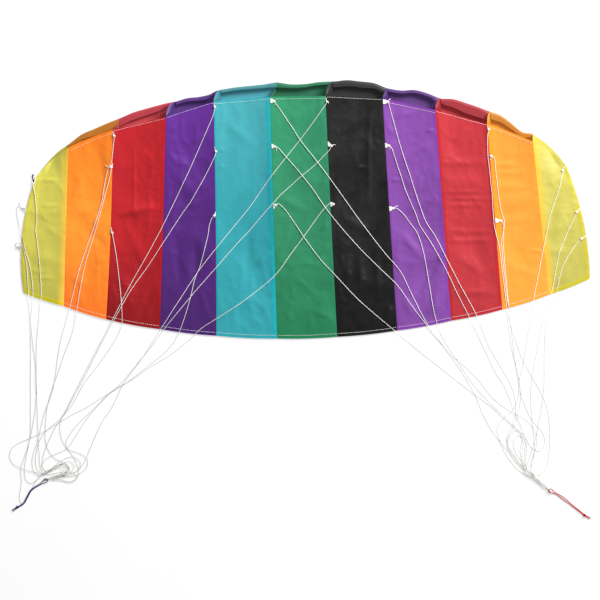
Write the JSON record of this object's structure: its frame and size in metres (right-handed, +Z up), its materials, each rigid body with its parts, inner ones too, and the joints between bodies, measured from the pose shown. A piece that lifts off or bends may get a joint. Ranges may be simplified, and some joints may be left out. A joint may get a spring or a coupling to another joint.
{
  "type": "stunt kite",
  "caption": "Two-line soft foil kite in bright taffeta cells with open mouths along its leading edge, laid out flat on its back with its bridle lines and pigtails.",
  "frame": {"origin": "on the floor under the middle of the canopy's box, the bridle lines and pigtails left out", "axes": "+X along the span, +Y towards the leading edge with its open mouths, +Z up from the floor through the bridle side"},
  "size_m": [1.3306, 1.0054, 0.0498],
  "materials": {
    "taffeta_yellow": "thin coated taffeta with a soft sheen",
    "taffeta_orange": "thin coated taffeta with a soft sheen",
    "taffeta_red": "thin coated taffeta with a soft sheen",
    "taffeta_purple": "thin coated taffeta with a soft sheen",
    "taffeta_cyan": "thin coated taffeta with a soft sheen",
    "taffeta_green": "thin coated taffeta with a soft sheen",
    "taffeta_black": "thin coated taffeta with a soft sheen",
    "line_white": "matt braided line and folded ribbon",
    "cord_navy": "matt braided cord",
    "cord_red": "matt braided cord"
  },
  "bodies": {
    "root": {"lower_yellow_left": "taffeta_yellow", "lower_orange_left": "taffeta_orange", "lower_red_left": "taffeta_red", "lower_purple_left": "taffeta_purple", "lower_cyan": "taffeta_cyan", "lower_green": "taffeta_green", "lower_black": "taffeta_black", "lower_purple_right": "taffeta_purple", "lower_red_right": "taffeta_red", "lower_orange_right": "taffeta_orange", "lower_yellow_right": "taffeta_yellow", "upper_yellow_left": "taffeta_yellow", "upper_orange_left": "taffeta_orange", "upper_red_left": "taffeta_red", "upper_purple_left": "taffeta_purple", "upper_cyan": "taffeta_cyan", "upper_green": "taffeta_green", "upper_black": "taffeta_black", "upper_purple_right": "taffeta_purple", "upper_red_right": "taffeta_red", "upper_orange_right": "taffeta_orange", "upper_yellow_right": "taffeta_yellow", "rib_01": "taffeta_orange", "rib_02": "taffeta_red", "rib_03": "taffeta_purple", "rib_04": "taffeta_cyan", "rib_05": "taffeta_green", "rib_06": "taffeta_black", "rib_07": "taffeta_purple", "rib_08": "taffeta_red", "rib_09": "taffeta_orange", "rib_10": "taffeta_yellow", "bridle_00_a": "line_white", "bridle_00_b": "line_white", "bridle_00_c": "line_white", "bridle_02_a": "line_white", "bridle_02_b": "line_white", "bridle_02_c": "line_white", "bridle_04_a": "line_white", "bridle_04_b": "line_white", "bridle_04_c": "line_white", "bridle_05_a": "line_white", "bridle_05_b": "line_white", "bridle_05_c": "line_white", "bridle_06_a": "line_white", "bridle_06_b": "line_white", "bridle_06_c": "line_white", "bridle_07_a": "line_white", "bridle_07_b": "line_white", "bridle_07_c": "line_white", "bridle_09_a": "line_white", "bridle_09_b": "line_white", "bridle_09_c": "line_white", "bridle_11_a": "line_white", "bridle_11_b": "line_white", "bridle_11_c": "line_white", "gather_knot_left": "line_white", "gather_knot_right": "line_white", "pigtail_left": "cord_navy", "pigtail_right": "cord_red"}
  },
  "joints": []
}
